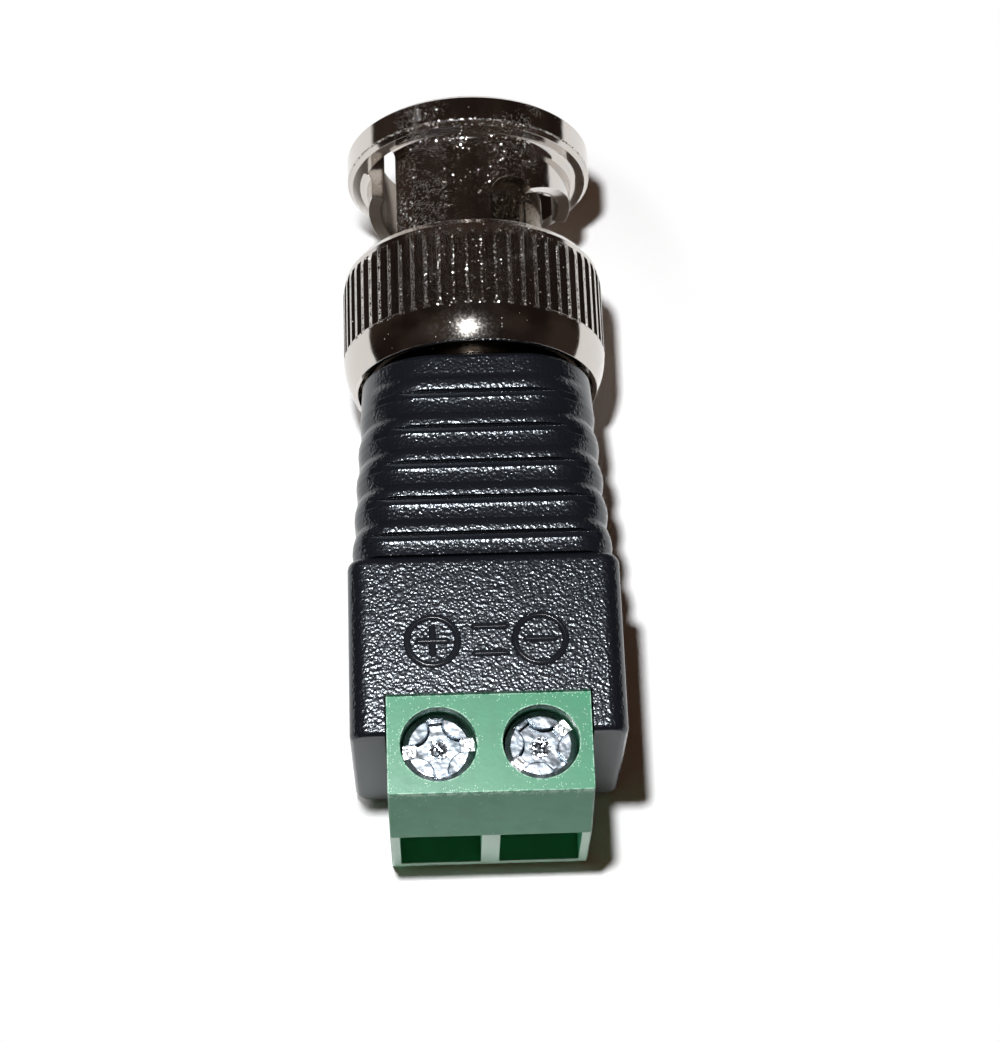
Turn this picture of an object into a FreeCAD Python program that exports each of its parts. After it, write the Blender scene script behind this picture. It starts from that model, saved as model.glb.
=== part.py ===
import FreeCAD, Part
import math
import os

# Bayonet coaxial plug to two-pole screw terminal adapter.
# +Y runs along the plug towards its mouth, +Z is the side with the terminal screws, and X is across.
# The origin is on the plug's axis, at the front face of the insulator. Lengths are in millimetres.

Vector = FreeCAD.Vector
ORIGIN = Vector(0, 0, 0)
X_AXIS = Vector(1, 0, 0)
Y_AXIS = Vector(0, 1, 0)
Z_AXIS = Vector(0, 0, 1)

# General clearances
seat_clearance = 0.03
running_clearance = 0.08
free_clearance = 0.10
cut_margin = 1.0

# Plug contacts
contact_radius = 4.05
contact_wall = 0.55
contact_length = 6.8
contact_root_step = 0.20
contact_collar_step = 0.12
contact_tip_round = 0.20
contact_slit_count = 4
contact_slit_width = 0.45
contact_slit_length = 4.6
pin_radius = 0.675
pin_root_step = 0.20
pin_root_reach = 0.05
pin_length = 5.5
pin_tip_length = 0.8
pin_tip_radius = 0.30
pin_collar_radius = 1.20
pin_collar_length = 0.8
solder_cup_radius = 0.95
solder_cup_bore = 0.58
solder_cup_length = 2.6
solder_cup_depth = 1.6
solder_cup_open_length = 1.28
solder_cup_open_height = 0.23

# Plug body
body_face_drop = 1.0
body_flange_thickness = 1.1
body_flange_step = 1.41
body_tail_step = 0.40
body_tail_length = 6.3
body_anchor_step = 0.45
body_anchor_width = 0.7
body_anchor_from_end = 1.2
insulator_step = 0.6
insulator_rear_radius = 2.6
insulator_rear_length = 4.4
gasket_thickness = 0.65
gasket_side_gap = 0.05

# Coupling nut
nut_shoulder_height = 1.04
nut_neck_wall = 0.75
nut_front_reach = 3.0
flange_below_knurl = 0.34
flange_thickness = 1.85
flange_chamfer = 0.25
neck_fillet = 0.45
knurl_front_chamfer = 0.40
knurl_band_drop = 0.12
knurl_band_length = 1.1
knurl_length = 4.0
bullnose_length = 1.95
bullnose_drop = 0.50
bullnose_middle_drop = 0.14
nut_rear_overhang = 0.25
nut_rear_wall = 0.90
rear_chamfer = 0.45
shoulder_gap = 0.10
flute_count = 60
flute_depth = 0.28
flute_width = 0.50
flute_floor = 0.08
flute_run_out = 0.37

# Bayonet windows in the nut's neck
lug_radius = 1.0
lug_reach = 5.5
lug_clearance = 0.20
groove_extra_width = 0.3
detent_radius = 1.40
detent_angle = 25.0
detent_setback = 3.80
cam_start_angle = 34.0
cam_start_setback = 2.95
cam_flat_angle = 95.0
cam_flat_setback = 1.50
window_end_angle = 134.0
window_count = 2
window_sections = 9

# Nut retention
thrust_washer_thickness = 0.4
wave_washer_thickness = 0.25
wave_room = 1.2
wave_count = 3
wave_inner_gap = 0.25
retaining_ring_thickness = 1.0
ring_gap = 0.05

# Ribbed part of the housing
housing_gap = 0.20
neck_front_side_inset = 1.02
neck_front_top_inset = 1.67
neck_front_corner = 4.0
neck_rear_side_inset = 0.36
neck_rear_top_inset = 1.78
neck_rear_corner = 1.85
neck_front_inset = 0.30
rib_pitch = 2.0
rib_count = 5
rib_side_waist = 0.24
rib_top_waist = 0.12
rib_slot_width = 0.40
rib_slot_depth = 0.38
rib_slot_lip = 0.08
rib_stations = (0.2, 0.6, 1.0)
first_slot_from_front = 2.37
last_slot_to_box = 0.96

# Box part of the housing
box_side_inset = 0.19
box_top_inset = 1.76
box_length = 9.72
box_corner = 0.95
box_front_round = 0.55
box_rear_round = 0.42
room_side_inset = 0.84
room_front_wall = 1.3
throat_radius = 4.1

# Terminal block
pole_pitch = 5.08
block_width = 10.19
block_top = 5.06
block_bottom = -4.68
block_depth = 5.97
block_in_housing = 2.21
block_slope_run = 0.90
block_slope_end = 0.68
block_edge_round = 0.15
block_clearance = 0.08
well_radius = 1.915
well_depth = 1.86
well_from_rear = 2.55
web_thickness = 1.0
screw_hole_radius = 1.62
divider_width = 0.95
block_floor = 0.48
block_rear_wall = 0.75
lintel_drop = 0.06

# Clamp cages, contact bars and screws
cage_half_width = 2.0
cage_depth = 3.3
cage_height = 4.3
cage_side_wall = 0.5
cage_top_wall = 1.1
cage_bottom_wall = 0.6
cage_corner_round = 0.30
cage_rest_gap = 0.10
bar_thickness = 0.5
bar_under_top_wall = 0.10
bar_tail_width = 1.0
bar_tail_length = 1.25
screw_thread_radius = 1.45
screw_head_radius = 1.80
screw_head_thickness = 1.15
screw_head_gap = 0.05
screw_tip_gap = 0.05
screw_shoulder_width = 0.30
screw_shoulder_drop = 0.12
drive_slot_width = 0.70
drive_slot_depth = 0.18
drive_well_depth = 0.45
drive_well_along = 1.07
drive_well_across = 1.33
drive_lip_width = 0.84
drive_lip_reach = 1.52
drive_lip_depth = 0.07
lobe_radius = 0.91
lobe_offset = 1.76
left_slot_turn = 6.0
right_slot_turn = 39.0

# Ferrite ring and its windings
core_radius = 3.2
core_bore_radius = 1.5
core_thickness = 2.4
winding_thickness = 0.35
winding_gap = 0.02
winding_arc = 140.0
lead_radius = 0.25

# Stations along the plug's axis, from the mouth to the wire entries
body_face = -body_face_drop
body_flange_rear = body_face - body_flange_thickness
nut_shoulder = body_face + shoulder_gap
thrust_front = body_flange_rear - wave_room
thrust_rear = thrust_front - thrust_washer_thickness
retainer_front = thrust_rear - ring_gap
retainer_rear = retainer_front - retaining_ring_thickness
nut_rear = retainer_rear - nut_rear_overhang
flute_rear = nut_rear + bullnose_length
flute_front = flute_rear + knurl_length
knurl_face = flute_front + knurl_band_length
nut_front = contact_length + nut_front_reach
flange_rear = nut_front - flange_thickness
tail_rear = body_flange_rear - body_tail_length
housing_front = nut_rear - housing_gap
first_slot = housing_front - first_slot_from_front
last_slot = first_slot - rib_pitch * (rib_count - 1)
box_front = last_slot - last_slot_to_box
box_rear = box_front - box_length
block_rear = box_rear + block_in_housing
block_front = block_rear - block_depth

# Radii of the nut and of what turns in it
body_tail_radius = contact_radius + body_tail_step
body_flange_radius = body_tail_radius + body_flange_step
nut_room_radius = body_flange_radius + running_clearance
nut_bore_radius = nut_room_radius - nut_shoulder_height
neck_radius = nut_bore_radius + nut_neck_wall
knurl_radius = nut_room_radius + nut_rear_wall + flute_depth
flange_radius = knurl_radius - flange_below_knurl
retainer_bore = body_tail_radius + running_clearance
groove_radius = lug_reach + lug_clearance + groove_extra_width / 2
contact_bore = contact_radius - contact_wall
contact_root_radius = contact_radius + contact_root_step
contact_collar_radius = contact_root_radius + contact_collar_step
insulator_bore = insulator_rear_radius + seat_clearance
contact_seat = body_face - insulator_step

# Half widths and half heights of the housing, set against the nut
neck_front_half_width = knurl_radius - neck_front_side_inset
neck_front_half_height = knurl_radius - neck_front_top_inset
neck_rear_half_width = knurl_radius - neck_rear_side_inset
neck_rear_half_height = knurl_radius - neck_rear_top_inset
box_half_width = knurl_radius - box_side_inset
box_half_height = knurl_radius - box_top_inset

# Heights in the terminal block
well_floor = block_top - well_depth
cavity_top = well_floor - web_thickness
cavity_floor = block_bottom + block_floor
cage_bottom = cavity_floor + cage_rest_gap
cage_top = cage_bottom + cage_height
window_top = cage_top - cage_top_wall
window_bottom = cage_bottom + cage_bottom_wall
bar_top = window_top - bar_under_top_wall
bar_bottom = bar_top - bar_thickness
clamp_travel = cavity_top - cage_top - cage_rest_gap
screw_axis_y = block_rear - well_from_rear
cavity_rear = block_rear - block_rear_wall
opening_half_width = (pole_pitch - divider_width) / 2

os.makedirs("parts", exist_ok=True)


def save(name, shape):
    if not shape.isValid():
        raise RuntimeError("invalid solid: " + name)
    shape.exportStep("parts/" + name + ".step")
    box = shape.BoundBox
    print(
        f"{name}: {len(shape.Solids)} solid, {shape.Volume:.2f} mm3, "
        f"y {box.YMin:.2f} to {box.YMax:.2f}, z {box.ZMin:.2f} to {box.ZMax:.2f}"
    )


def turned(profile):
    """A solid of revolution about the plug's axis, from corners given as (y, radius)."""
    corners = [Vector(radius, y, 0) for y, radius in profile]
    face = Part.Face(Part.makePolygon(corners + corners[:1]))
    return face.revolve(ORIGIN, Y_AXIS, 360)


def ring(y_rear, y_front, inner, outer):
    return turned([(y_rear, inner), (y_rear, outer), (y_front, outer), (y_front, inner)])


def rod(y_rear, y_front, radius):
    return Part.makeCylinder(radius, y_front - y_rear, Vector(0, y_rear, 0), Y_AXIS)


def block(x_low, x_high, y_low, y_high, z_low, z_high):
    size = (x_high - x_low, y_high - y_low, z_high - z_low)
    return Part.makeBox(*size, Vector(x_low, y_low, z_low))


def turned_about_plug(shape, angle):
    copy = shape.copy()
    copy.rotate(ORIGIN, Y_AXIS, angle)
    return copy


def patterned(shape, count):
    """A shape repeated evenly round the plug's axis."""
    return [turned_about_plug(shape, 360.0 * step / count) for step in range(count)]


def radial_section(angle, y_rear, y_front, inner, outer):
    """A rectangle in the plane through the axis at this angle from +Z."""
    corners = [
        Vector(0, y_rear, inner),
        Vector(0, y_rear, outer),
        Vector(0, y_front, outer),
        Vector(0, y_front, inner),
    ]
    wire = Part.makePolygon(corners + corners[:1])
    wire.rotate(ORIGIN, Y_AXIS, angle)
    return wire


def sector(angle_from, angle_to, y_rear, y_front, inner, outer):
    """Part of a ring between two angles from +Z towards +X."""
    face = Part.Face(radial_section(angle_from, y_rear, y_front, inner, outer))
    return face.revolve(ORIGIN, Y_AXIS, angle_to - angle_from)


def edges_where(shape, test):
    return [edge for edge in shape.Edges if test(edge)]


# Coupling nut
def nut_blank():
    """The turned outline: rim, neck, knurl band and bullnose, bored from both ends."""
    bullnose_mid = flute_rear - bullnose_length / 2
    outline = Part.Wire(
        [
            Part.makeLine(Vector(nut_bore_radius, nut_front, 0), Vector(flange_radius, nut_front, 0)),
            Part.makeLine(Vector(flange_radius, nut_front, 0), Vector(flange_radius, flange_rear, 0)),
            Part.makeLine(Vector(flange_radius, flange_rear, 0), Vector(neck_radius, flange_rear, 0)),
            Part.makeLine(Vector(neck_radius, flange_rear, 0), Vector(neck_radius, knurl_face, 0)),
            Part.makeLine(
                Vector(neck_radius, knurl_face, 0),
                Vector(knurl_radius - knurl_front_chamfer, knurl_face, 0),
            ),
            Part.makeLine(
                Vector(knurl_radius - knurl_front_chamfer, knurl_face, 0),
                Vector(knurl_radius - knurl_band_drop, knurl_face - knurl_front_chamfer, 0),
            ),
            Part.makeLine(
                Vector(knurl_radius - knurl_band_drop, knurl_face - knurl_front_chamfer, 0),
                Vector(knurl_radius, flute_front, 0),
            ),
            Part.makeLine(Vector(knurl_radius, flute_front, 0), Vector(knurl_radius, flute_rear, 0)),
            Part.Arc(
                Vector(knurl_radius, flute_rear, 0),
                Vector(knurl_radius - bullnose_middle_drop, bullnose_mid, 0),
                Vector(knurl_radius - bullnose_drop, nut_rear, 0),
            ).toShape(),
            Part.makeLine(
                Vector(knurl_radius - bullnose_drop, nut_rear, 0),
                Vector(nut_room_radius + rear_chamfer, nut_rear, 0),
            ),
            Part.makeLine(
                Vector(nut_room_radius + rear_chamfer, nut_rear, 0),
                Vector(nut_room_radius, nut_rear + rear_chamfer, 0),
            ),
            Part.makeLine(
                Vector(nut_room_radius, nut_rear + rear_chamfer, 0),
                Vector(nut_room_radius, nut_shoulder, 0),
            ),
            Part.makeLine(
                Vector(nut_room_radius, nut_shoulder, 0), Vector(nut_bore_radius, nut_shoulder, 0)
            ),
            Part.makeLine(Vector(nut_bore_radius, nut_shoulder, 0), Vector(nut_bore_radius, nut_front, 0)),
        ]
    )
    blank = Part.Face(outline).revolve(ORIGIN, Y_AXIS, 360)
    rim_edges = edges_where(blank, lambda e: is_circle_at(e, flange_radius, (nut_front, flange_rear)))
    blank = blank.makeChamfer(flange_chamfer, rim_edges)
    root_edges = edges_where(blank, lambda e: is_circle_at(e, neck_radius, (flange_rear,)))
    return blank.makeFillet(neck_fillet, root_edges)


def is_circle_at(edge, radius, stations):
    if not isinstance(edge.Curve, Part.Circle):
        return False
    on_station = any(abs(edge.Curve.Center.y - station) < 1e-4 for station in stations)
    return on_station and abs(edge.Curve.Radius - radius) < 1e-4


def cam_setback(angle):
    """How far the cam edge lies behind the rim: steep beside the detent, easing out to a level run."""
    share = min(1, (angle - cam_start_angle) / (cam_flat_angle - cam_start_angle))
    eased = share * (2 - share)
    return cam_start_setback + eased * (cam_flat_setback - cam_start_setback)


def bayonet_window():
    """The cuts of one window: open neck behind the cam edge, round detent, entry groove of a lug."""
    inner = nut_bore_radius - cut_margin / 2
    outer = neck_radius + neck_fillet + cut_margin
    step = (window_end_angle - detent_angle) / (window_sections - 1)
    angles = [detent_angle + step * index for index in range(window_sections)]
    sections = [
        radial_section(angle, knurl_face, flange_rear - cam_setback(angle), inner, outer)
        for angle in angles
    ]
    behind_cam = Part.makeLoft(sections, True, False)
    detent_y = flange_rear - detent_setback
    detent = Part.makeCylinder(detent_radius, outer - inner, Vector(0, detent_y, inner), Z_AXIS)
    detent = turned_about_plug(detent, detent_angle)
    below_detent = block(-detent_radius, detent_radius, knurl_face, detent_y, inner, outer)
    below_detent = turned_about_plug(below_detent, detent_angle)
    groove_width = 2 * (lug_radius + lug_clearance) + groove_extra_width
    groove_angle = math.degrees(groove_width / neck_radius)
    groove_start = window_end_angle - groove_angle
    entry = sector(
        groove_start, window_end_angle, knurl_face, nut_front + cut_margin, inner, groove_radius
    )
    open_neck = sector(groove_start, window_end_angle, knurl_face, flange_rear, inner, outer)
    return [behind_cam, detent, below_detent, entry, open_neck]


def flute_tool():
    """A V cut with a narrow floor that runs along the knurl and out through its front edge."""
    base = knurl_radius - flute_depth
    top = knurl_radius + flute_depth
    half_floor = flute_floor / 2
    half_top = flute_width - half_floor
    corners = [
        Vector(half_floor, flute_rear, base),
        Vector(half_top, flute_rear, top),
        Vector(-half_top, flute_rear, top),
        Vector(-half_floor, flute_rear, base),
    ]
    face = Part.Face(Part.makePolygon(corners + corners[:1]))
    return face.extrude(Vector(0, knurl_length + flute_run_out, 0))


def coupling_nut():
    nut = nut_blank()
    for tool in bayonet_window():
        for window in patterned(tool, window_count):
            nut = nut.cut(window)
    return nut.cut(patterned(flute_tool(), flute_count))


# Parts that hold the nut on the body
def retaining_ring():
    ring_radius = nut_room_radius - seat_clearance
    return ring(retainer_rear, retainer_front, retainer_bore, ring_radius)


def thrust_washer():
    return ring(thrust_rear, thrust_front, retainer_bore, body_flange_radius)


def wave_washer():
    """A thin spring ring with three waves, just clear of the flange and the thrust washer."""
    middle = (body_flange_rear + thrust_front) / 2
    swing = (wave_room - wave_washer_thickness) / 2 - ring_gap
    inner = retainer_bore + wave_inner_gap
    outer = body_flange_radius - wave_inner_gap / 2
    section_count = 8 * wave_count
    sections = []
    for index in range(section_count):
        angle = 360.0 * index / section_count
        height = middle + swing * math.cos(math.radians(angle * wave_count))
        low = height - wave_washer_thickness / 2
        sections.append(radial_section(angle, low, low + wave_washer_thickness, inner, outer))
    return Part.makeLoft(sections, True, False, True)


# Plug body and its contacts
def plug_body():
    tail_bore = insulator_bore
    anchor_front = tail_rear + body_anchor_from_end + body_anchor_width
    anchor_rear = tail_rear + body_anchor_from_end
    anchor_radius = body_tail_radius + body_anchor_step
    seat_radius = contact_collar_radius + seat_clearance
    return turned(
        [
            (body_face, seat_radius),
            (body_face, body_flange_radius),
            (body_flange_rear, body_flange_radius),
            (body_flange_rear, body_tail_radius),
            (anchor_front, body_tail_radius),
            (anchor_front, anchor_radius),
            (anchor_rear, anchor_radius),
            (anchor_rear, body_tail_radius),
            (tail_rear, body_tail_radius),
            (tail_rear, tail_bore),
            (contact_seat, tail_bore),
            (contact_seat, seat_radius),
        ]
    )


def outer_contact():
    """The slit sleeve round the pin, with a collar that seats in the body."""
    sleeve = turned(
        [
            (contact_seat, contact_bore),
            (contact_seat, contact_collar_radius),
            (body_face, contact_collar_radius),
            (body_face, contact_root_radius),
            (0, contact_root_radius),
            (0, contact_radius),
            (contact_length - contact_tip_round, contact_radius),
            (contact_length, contact_radius - contact_tip_round),
            (contact_length, contact_bore),
        ]
    )
    slit = block(
        -contact_slit_width / 2,
        contact_slit_width / 2,
        contact_length - contact_slit_length,
        contact_length + cut_margin,
        0,
        contact_radius + cut_margin,
    )
    half_step = 180.0 / contact_slit_count
    return sleeve.cut([turned_about_plug(s, half_step) for s in patterned(slit, contact_slit_count)])


def insulator():
    front_radius = contact_bore - seat_clearance
    rear = contact_seat - insulator_rear_length
    hole = pin_radius + pin_root_step + seat_clearance
    collar_hole = pin_collar_radius + seat_clearance
    collar_front = contact_seat - free_clearance
    return turned(
        [
            (0, hole),
            (0, front_radius),
            (contact_seat, front_radius),
            (contact_seat, insulator_rear_radius),
            (rear, insulator_rear_radius),
            (rear, collar_hole),
            (collar_front, collar_hole),
            (collar_front, hole),
        ]
    )


def centre_pin():
    """The pin, its collar behind the insulator's step, and the half-open solder cup."""
    collar_front = contact_seat - free_clearance - seat_clearance
    collar_rear = collar_front - pin_collar_length
    root_radius = pin_radius + pin_root_step
    cup_front = contact_seat - insulator_rear_length - free_clearance
    cup_rear = cup_front - solder_cup_length
    pin = turned(
        [
            (cup_rear, 0),
            (cup_rear, solder_cup_radius),
            (cup_front, solder_cup_radius),
            (cup_front, root_radius),
            (collar_rear, root_radius),
            (collar_rear, pin_collar_radius),
            (collar_front, pin_collar_radius),
            (collar_front, root_radius),
            (pin_root_reach, root_radius),
            (pin_root_reach, pin_radius),
            (pin_length - pin_tip_length, pin_radius),
            (pin_length, pin_tip_radius),
            (pin_length, 0),
        ]
    )
    bore = rod(cup_rear - cut_margin, cup_rear + solder_cup_depth, solder_cup_bore)
    opening = block(
        -solder_cup_radius * 2,
        solder_cup_radius * 2,
        cup_rear - cut_margin,
        cup_rear + solder_cup_open_length,
        solder_cup_open_height,
        solder_cup_radius * 2,
    )
    return pin.cut([bore, opening])


def sealing_gasket():
    inner = contact_root_radius + gasket_side_gap
    outer = nut_bore_radius - running_clearance
    return ring(body_face, body_face + gasket_thickness, inner, outer)


# Housing
def rounded_rectangle(y, half_width, half_height, corner):
    """A closed outline across the plug's axis, with four straight sides and four arcs."""
    flat_x = half_width - corner
    flat_z = half_height - corner
    diagonal = corner * math.sqrt(0.5)
    edges = []
    for sign_x, sign_z, first_on_side in ((1, 1, True), (1, -1, False), (-1, -1, True), (-1, 1, False)):
        centre = Vector(sign_x * flat_x, y, sign_z * flat_z)
        on_end = centre + Vector(0, 0, sign_z * corner)
        on_side = centre + Vector(sign_x * corner, 0, 0)
        middle = centre + Vector(sign_x * diagonal, 0, sign_z * diagonal)
        start, stop = (on_end, on_side) if first_on_side else (on_side, on_end)
        edges.append((start, middle, stop))
    outline = []
    for index, (start, middle, stop) in enumerate(edges):
        outline.append(Part.Arc(start, middle, stop).toShape())
        next_start = edges[(index + 1) % len(edges)][0]
        outline.append(Part.makeLine(stop, next_start))
    return Part.Wire(outline)


def neck_half_height(y):
    """Half the ribbed part's height at this station, over the crowns of the ribs."""
    share = (housing_front - y) / (housing_front - box_front)
    return neck_front_half_height + share * (neck_rear_half_height - neck_front_half_height)


def neck_outline(y, side_inset, top_inset):
    """The ribbed part's outline at this station: nearly round in front, boxy at the rear."""
    share = (housing_front - y) / (housing_front - box_front)
    half_width = neck_front_half_width + share * (neck_rear_half_width - neck_front_half_width)
    corner = neck_front_corner + share * (neck_rear_corner - neck_front_corner)
    return rounded_rectangle(
        y, half_width - side_inset, neck_half_height(y) - top_inset, corner - side_inset
    )


def rib_outline(crown, share, reach):
    """The outline at a share of the way from a rib's crown (0) to its end (1 behind, -1 in front)."""
    return neck_outline(crown - share * reach, share**2 * rib_side_waist, share**2 * rib_top_waist)


def rib(crown, y_rear):
    """One rib: full size at its crown, and drawn in evenly more towards both ends."""
    sections = []
    ahead = [-share for share in reversed(rib_stations)]
    for share in (*ahead, *rib_stations):
        reach = crown - y_rear if share > 0 else rib_pitch / 2
        sections.append(rib_outline(crown, share, reach))
    return Part.makeLoft(sections, True, True)


def first_rib():
    """The long front rib: a round-over behind the nut, a straight run, then the first slot."""
    round_over = (
        (housing_front, neck_front_inset),
        (housing_front - neck_front_inset / 3, neck_front_inset / 3),
        (housing_front - neck_front_inset, 0),
    )
    sections = [neck_outline(y, inset, inset) for y, inset in round_over]
    for share in rib_stations:
        sections.append(rib_outline(first_slot, share, rib_pitch / 2))
    return Part.makeLoft(sections, True, True)


def rib_slot(crown, side):
    """The cut of one slot, above (side 1) or below (side -1): a flat floor and sloping lips."""
    top = neck_half_height(crown)
    floor = top - rib_slot_depth
    lip_foot = top - rib_slot_lip
    beyond = top + cut_margin
    half_width = rib_slot_width / 2
    half_mouth = half_width + rib_slot_lip + cut_margin
    corners = [
        Vector(-box_half_width, crown - half_width, side * floor),
        Vector(-box_half_width, crown + half_width, side * floor),
        Vector(-box_half_width, crown + half_width, side * lip_foot),
        Vector(-box_half_width, crown + half_mouth, side * beyond),
        Vector(-box_half_width, crown - half_mouth, side * beyond),
        Vector(-box_half_width, crown - half_width, side * lip_foot),
    ]
    face = Part.Face(Part.makePolygon(corners + corners[:1]))
    return face.extrude(Vector(2 * box_half_width, 0, 0))


def ribbed_neck():
    """Convex ribs from the nut to the box, with a narrow slot across each rib's top and bottom."""
    ribs = [first_rib()]
    for index in range(1, rib_count):
        crown = first_slot - rib_pitch * index
        y_rear = max(crown - rib_pitch / 2, box_front)
        ribs.append(rib(crown, y_rear))
    neck = ribs[0].fuse(ribs[1:])
    crowns = [first_slot - rib_pitch * index for index in range(rib_count)]
    return neck.cut([rib_slot(crown, side) for crown in crowns for side in (1, -1)])


def housing_box():
    outline = rounded_rectangle(box_rear, box_half_width, box_half_height, box_corner)
    box = Part.Face(outline).extrude(Vector(0, box_length, 0))
    front = edges_where(box, lambda e: e.BoundBox.YMin > box_front - 1e-4)
    box = box.makeFillet(box_front_round, front)
    rear = edges_where(box, lambda e: e.BoundBox.YMax < box_rear + 1e-4)
    return box.makeFillet(box_rear_round, rear)


def housing():
    """The moulded housing: ribbed neck and box, with seats for the plug's tail and the block."""
    shell = housing_box().fuse(ribbed_neck()).removeSplitter()
    tail_seat = rod(tail_rear, housing_front + cut_margin, body_tail_radius + seat_clearance)
    anchor_seat = rod(
        tail_rear + body_anchor_from_end - seat_clearance,
        tail_rear + body_anchor_from_end + body_anchor_width + seat_clearance,
        body_tail_radius + body_anchor_step + seat_clearance,
    )
    room_front = box_front - room_front_wall
    throat = rod(room_front - cut_margin, tail_rear + cut_margin / 2, throat_radius)
    room_half_height = core_radius + winding_thickness + ring_gap
    room = block(
        -room_half_width(),
        room_half_width(),
        block_rear - cut_margin / 2,
        room_front,
        -room_half_height,
        room_half_height,
    )
    notch_half = block_width / 2 + block_clearance
    notch = block(
        -notch_half,
        notch_half,
        box_rear - cut_margin,
        block_rear,
        block_bottom - block_clearance,
        box_half_height + cut_margin,
    )
    return shell.cut([tail_seat, anchor_seat, throat, room, notch])


def room_half_width():
    return block_width / 2 - room_side_inset


# Terminal block
def pole_sides():
    return (("plus", -pole_pitch / 2), ("minus", pole_pitch / 2))


def terminal_block():
    """The block: screw wells above, cage cavities inside, wire openings in front, bar slots behind."""
    corners = [
        Vector(-block_width / 2, block_rear, block_bottom),
        Vector(-block_width / 2, block_rear, block_top),
        Vector(-block_width / 2, block_front + block_slope_run, block_top),
        Vector(-block_width / 2, block_front, block_slope_end),
        Vector(-block_width / 2, block_front, block_bottom),
    ]
    outline = Part.Face(Part.makePolygon(corners + corners[:1]))
    body = outline.extrude(Vector(block_width, 0, 0))
    upright = edges_where(
        body, lambda e: e.BoundBox.YMax < block_front + block_slope_run + 1e-4 and e.BoundBox.XLength < 1e-4
    )
    body = body.makeFillet(block_edge_round, upright)
    tools = []
    for side, x in pole_sides():
        cavity_front = screw_axis_y - cage_depth / 2 - free_clearance
        tools.append(
            Part.makeCylinder(
                well_radius, well_depth + cut_margin, Vector(x, screw_axis_y, well_floor), Z_AXIS
            )
        )
        tools.append(
            Part.makeCylinder(
                screw_hole_radius,
                web_thickness + cut_margin,
                Vector(x, screw_axis_y, cavity_top - cut_margin / 2),
                Z_AXIS,
            )
        )
        tools.append(
            block(
                x - opening_half_width,
                x + opening_half_width,
                cavity_front,
                cavity_rear,
                cavity_floor,
                cavity_top,
            )
        )
        tools.append(
            block(
                x - opening_half_width,
                x + opening_half_width,
                block_front - cut_margin,
                cavity_front + cut_margin / 2,
                cavity_floor,
                block_slope_end - lintel_drop,
            )
        )
        tools.append(
            block(
                x - bar_tail_width / 2,
                x + bar_tail_width / 2,
                cavity_rear - cut_margin / 2,
                block_rear + cut_margin,
                bar_bottom,
                bar_top,
            )
        )
    return body.cut(tools)


def clamp_cage(x):
    """The rising cage: a frame round the wire, threaded on the screw in its top wall."""
    y_front = screw_axis_y - cage_depth / 2
    y_rear = screw_axis_y + cage_depth / 2
    frame = block(x - cage_half_width, x + cage_half_width, y_front, y_rear, cage_bottom, cage_top)
    inside = cage_half_width - cage_side_wall
    window = block(
        x - inside, x + inside, y_front - cut_margin, y_rear + cut_margin, window_bottom, window_top
    )
    thread = Part.makeCylinder(
        screw_thread_radius + running_clearance / 2,
        cage_top_wall + cut_margin,
        Vector(x, screw_axis_y, window_top - cut_margin / 2),
        Z_AXIS,
    )
    corner_edges = edges_where(
        frame, lambda e: e.BoundBox.ZLength < 1e-4 and e.BoundBox.XLength < 1e-4
    )
    frame = frame.makeFillet(cage_corner_round, corner_edges)
    return frame.cut([window, thread])


def contact_bar(x):
    """The fixed bar above the wire, with the tail that leaves through the block's rear wall."""
    inside = cage_half_width - cage_side_wall - free_clearance
    y_front = screw_axis_y - cage_depth / 2
    plate = block(x - inside, x + inside, y_front, cavity_rear, bar_bottom, bar_top)
    tail = block(
        x - bar_tail_width / 2,
        x + bar_tail_width / 2,
        cavity_rear - cut_margin / 2,
        block_rear + bar_tail_length,
        bar_bottom,
        bar_top,
    )
    return plate.fuse(tail).removeSplitter()


def screw_cut(x, half_along, half_across, depth):
    """A box cut into the screw head from above, centred on the screw."""
    head_top = well_floor + screw_head_gap + screw_head_thickness
    return block(
        x - half_along,
        x + half_along,
        screw_axis_y - half_across,
        screw_axis_y + half_across,
        head_top - depth,
        head_top + cut_margin,
    )


def drive_lobes(x):
    """The four round lands that stand between the arms of the cross."""
    head_top = well_floor + screw_head_gap + screw_head_thickness
    lobes = []
    for quarter in range(4):
        diagonal = math.radians(45 + 90 * quarter)
        place = Vector(
            x + lobe_offset * math.cos(diagonal),
            screw_axis_y + lobe_offset * math.sin(diagonal),
            head_top - drive_well_depth,
        )
        lobes.append(Part.makeCylinder(lobe_radius, drive_well_depth + cut_margin, place, Z_AXIS))
    return lobes


def terminal_screw(x, slot_turn):
    """A captive screw: a shallow through slot, and a deeper cross between four rounded lands."""
    head_low = well_floor + screw_head_gap
    head_top = head_low + screw_head_thickness
    tip = window_top + screw_tip_gap
    shoulder_foot = head_top - screw_shoulder_drop
    head = Part.makeCylinder(
        screw_head_radius, shoulder_foot - head_low, Vector(x, screw_axis_y, head_low), Z_AXIS
    )
    shoulder = Part.makeCone(
        screw_head_radius,
        screw_head_radius - screw_shoulder_width,
        screw_shoulder_drop,
        Vector(x, screw_axis_y, shoulder_foot),
        Z_AXIS,
    )
    shank = Part.makeCylinder(
        screw_thread_radius, head_low - tip, Vector(x, screw_axis_y, tip), Z_AXIS
    )
    through_slot = screw_cut(x, screw_head_radius + cut_margin, drive_slot_width / 2, drive_slot_depth)
    lips = screw_cut(x, drive_lip_width / 2, drive_lip_reach, drive_lip_depth)
    cross = screw_cut(x, drive_well_along, drive_well_across, drive_well_depth)
    recess = cross.cut(drive_lobes(x)).fuse([through_slot, lips])
    recess.rotate(Vector(x, screw_axis_y, 0), Z_AXIS, slot_turn)
    return head.fuse([shoulder, shank]).cut(recess).removeSplitter()


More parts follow.
